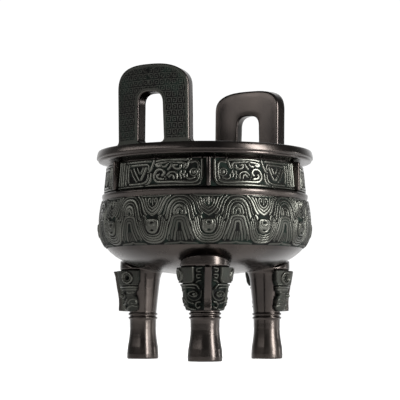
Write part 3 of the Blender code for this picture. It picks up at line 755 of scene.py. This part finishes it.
maskStrokes = [(width, share, curved(path)) for width, share, path in [
    (1.9, 0.9, [(44, 80.2), (30, 80.2), (16, 80.3), (11.6, 79.6), (9.0, 76.2)]),
    (1.5, 0.6, [(44, 77.3), (33, 77.2), (22, 77.4), (14.4, 76.6)]),
    (1.2, 0.8, [(11.4, 70.4), (14.5, 73.2), (19, 73.0), (24, 70.8), (19.4, 68.2), (14.4, 67.8),
                (11.4, 70.4)]),
    (1.7, 0.34, [(6.6, 74), (7.4, 68.6), (11, 64.9), (18, 63.8), (24.6, 66), (28, 69.6), (33, 71),
                 (41, 70)]),
    (1.7, 1.0, [(8, 62.4), (12.6, 61.6), (14.2, 58.6), (12, 56.0), (8.6, 57.4)]),
    (1.6, 0.9, [(17, 60.6), (22, 61.6), (26, 63.6), (28.4, 66.4)]),
    (1.8, 1.0, [(43, 58.6), (36, 59.6), (30, 58.0), (24, 55.4), (17, 54.6)]),
    (1.6, 1.0, [(30, 62.4), (34, 65.6), (41, 66.4), (41.6, 61.6), (35.6, 62.2)]),
    (1.5, 0.9, [(30, 74.2), (34, 73.2), (37.6, 74.0), (41, 73.4)]),
    (1.5, 0.5, [(6.4, 97.4), (10.6, 96.4), (10.2, 93.6), (7.4, 93.8)]),
    (1.5, 0.5, [(6.6, 90.6), (10.8, 90.4), (10.4, 87.0), (7.6, 87.6)]),
    (1.4, 0.5, [(7.0, 84.4), (10.4, 83.6), (12.4, 81.9)]),
]]


def hornForms(along, z):
    # a slab with a raised border in front and below, and a pierced ring on its side
    horn = mask["horn"]
    corner = horn["corner"]
    ahead, above = along - horn["from"], z - horn["bottom"]
    rounded = corner - np.hypot(np.minimum(ahead - corner, 0), np.minimum(above - corner, 0))
    inSlab = np.where(np.maximum(ahead, above) < corner, rounded, np.minimum(ahead, above))
    slab = ease(inSlab / 0.5)
    ringAt = (np.radians(horn["ringTurn"]) * mask["middle"], horn["ringUp"])
    forms = {
        "slab": slab,
        "border": slab * (1 - ease((inSlab - 0.9) / 0.5)),
        "ring": ring(along, z, ringAt, horn["ring"] - 1.1, 2.2),
        "inner": ring(along, z, ringAt, horn["hole"] + 1.2, 1.1),
    }
    beside = np.maximum(1 - disc(along, z, ringAt, horn["ring"] + 0.7), mask["slabBeside"])
    return forms, inSlab, disc(along, z, ringAt, horn["hole"]), beside


def maskHeights(turn, z):
    # radius in mm about the leg's middle, and wear
    away = np.abs(turn)
    along = np.radians(away) * mask["middle"]
    forms, inSlab, hole, beside = hornForms(along, z)
    forms["lines"] = ridges(along, z, maskStrokes, mask["groove"]) * (1 - ease((inSlab + 0.7) / 0.4))
    eyeTurn, eyeUp, eyeRadius = mask["eye"]
    fromEye = np.hypot(along - np.radians(eyeTurn) * mask["middle"], z - eyeUp) / eyeRadius
    forms["eye"] = np.sqrt(np.clip(1 - fromEye ** 2, 0, 1))
    forms["cheek"] = ease((away - mask["cheek"]) / 3) * ease((mask["cheekTop"] - z) / 0.6)
    worn = np.maximum.reduce([form * mask["worn"][name] for name, form in forms.items()])
    forms["slab"] = forms["slab"] * beside
    lift = np.maximum.reduce([form * mask["lift"][name] for name, form in forms.items()])
    # an uneven cast surface
    grain = np.sin(along * 3.3 + 1.3 * np.sin(z * 1.9)) * np.sin(z * 3.7 + 1.2 * np.sin(along * 1.7))
    grain = grain * mask["grain"]
    worn = worn * (1 - hole) * (1 - mask["grain"] + grain)
    radius = even(z, mask["outer"]) - mask["depth"] + lift - hole * mask["holeDepth"] + grain
    # the nose is a flat bridge down the middle
    nose = even(z, mask["nose"])
    side = np.abs(nose * np.sin(np.radians(turn)))
    bridge = np.where(away < 60, 1 - ease(side - table(z, mask["noseHalf"]) + 0.5), 0.0)
    radius = radius + (nose / np.cos(np.radians(np.minimum(away, 20))) - radius) * bridge
    return radius, worn * (1 - bridge) + 2.0 * bridge


def makeMasks():
    for azimuth, name in zip(leg["azimuths"], leg["names"]):
        def shape(u, v):
            z = mask["bottom"] + v * (mask["top"] - mask["bottom"])
            turn = (u - 0.5) * 2 * mask["wrap"]
            radius, worn = maskHeights(turn, z)
            # the sheet drops into the leg at its sides and ends
            side = ease((np.abs(turn) - table(z, mask["wrapAt"])) / 1.6)
            ends = np.maximum(1 - ease((z - mask["bottom"]) / 0.7), 1 - ease((mask["top"] - z) / 0.5))
            drop = np.maximum(side, ends)
            column = table(z, leg["profile"]) - mask["seat"]
            radius = radius + (np.minimum(column, radius) - radius) * drop
            return legPlace(azimuth, turn + leg["maskTurn"], radius / 1e3, z / 1e3), worn * (1 - drop)

        bm = bmesh.new()
        addSheet(bm, mask["columns"], mask["rows"], shape)
        middle = Vector(polar(leg["circle"], azimuth, 0.0).tolist())
        finishPiece(bm, "mask_" + name, ornamentBronze,
                    outward=lambda p, m=middle: Vector((p.x - m.x, p.y - m.y, 0)).normalized())


makeMasks()


# Floor and light

studio = {
    "floor": 6.0, "paint": 0.93, "glow": 0.60, "room": 0.17, "backdrop": 1.05, "aim": 0.15,
    # focal length and centre in pixels of a picture of this size
    "camera": {"distance": 1.7325, "height": 0.0442, "azimuth": -60.1, "focal": 1566.4,
               "centreX": 204.9, "centreY": 319.3, "picture": 400, "sensor": 36},
    # degrees from the camera's azimuth, distance, height, width, tall, watts
    "lamps": {
        "key": (56, 1.7, 0.50, 0.42, 1.4, 62.0),
        "edge": (108, 1.8, 0.13, 0.18, 0.28, 2.2),
        "upper": (-62, 1.8, 0.80, 2.6, 0.30, 12.0),
    },
}


def makeStudio():
    bm = bmesh.new()
    bmesh.ops.create_grid(bm, x_segments=1, y_segments=1, size=studio["floor"])
    mesh = bpy.data.meshes.new("floor")
    bm.to_mesh(mesh)
    bm.free()
    floor = bpy.data.objects.new("floor", mesh)
    bpy.context.scene.collection.objects.link(floor)
    pale = bpy.data.materials.new("pale floor")
    pale.use_nodes = True
    shader = pale.node_tree.nodes["Principled BSDF"]
    shader.inputs["Base Color"].default_value = grey(studio["paint"])
    shader.inputs["Roughness"].default_value = 1.0
    shader.inputs["Specular IOR Level"].default_value = 0.0
    # the floor looks white and lights the vessel a little less
    seen = node(pale.node_tree, "ShaderNodeLightPath").outputs["Is Camera Ray"]
    glow = mixColour(pale.node_tree, seen, grey(studio["glow"]), white)
    pale.node_tree.links.new(glow, shader.inputs["Emission Color"])
    shader.inputs["Emission Strength"].default_value = 1.0
    mesh.materials.append(pale)
    # a pale backdrop behind the vessel, a darker room in front of it
    world = bpy.data.worlds.new("studio")
    world.use_nodes = True
    tree = world.node_tree
    facing = node(tree, "ShaderNodeVectorMath", operation="DOT_PRODUCT")
    tree.links.new(node(tree, "ShaderNodeTexCoord").outputs["Generated"], facing.inputs[0])
    away = radians(studio["camera"]["azimuth"])
    facing.inputs[1].default_value = (-sin(away), cos(away), 0)
    backdrop = grey(studio["backdrop"])
    light = ramp(tree, facing.outputs["Value"], 0.55, 0.9, grey(studio["room"]), backdrop)
    seen = node(tree, "ShaderNodeLightPath").outputs["Is Camera Ray"]
    tree.links.new(mixColour(tree, seen, light, backdrop), tree.nodes["Background"].inputs["Color"])
    bpy.context.scene.world = world
    for name, (turn, distance, height, width, tall, power) in studio["lamps"].items():
        lamp = bpy.data.lights.new(name, "AREA")
        lamp.shape = "RECTANGLE"
        lamp.size, lamp.size_y, lamp.energy = width, tall, power
        holder = bpy.data.objects.new(name, lamp)
        place = Vector(polar(distance, studio["camera"]["azimuth"] + turn, height).tolist())
        holder.location = place
        aim = Vector((0, 0, studio["aim"])) - place
        holder.rotation_euler = aim.to_track_quat("-Z", "Y").to_euler()
        bpy.context.scene.collection.objects.link(holder)


def makeCamera():
    size = studio["camera"]
    camera = bpy.data.cameras.new("camera")
    camera.sensor_width = size["sensor"]
    camera.lens = size["focal"] * size["sensor"] / size["picture"]
    holder = bpy.data.objects.new("camera", camera)
    holder.location = polar(size["distance"], size["azimuth"], size["height"]).tolist()
    away = radians(size["azimuth"])
    forward = Vector((-sin(away), cos(away), 0))
    right = Vector((cos(away), sin(away), 0))
    # pitched and turned so that the level axis falls where the photograph has it
    pitch = atan((size["centreY"] - size["picture"] / 2) / size["focal"])
    turn = atan((size["picture"] / 2 - size["centreX"]) / size["focal"])
    look = (forward + right * tan(turn)).normalized() * cos(pitch) + Vector((0, 0, sin(pitch)))
    holder.rotation_mode = "QUATERNION"
    holder.rotation_quaternion = look.to_track_quat("-Z", "Y")
    camera.clip_start, camera.clip_end = 0.05, 50
    bpy.context.scene.collection.objects.link(holder)
    bpy.context.scene.camera = holder


makeStudio()
makeCamera()
bpy.context.scene.view_settings.view_transform = "Standard"
print("studio made")
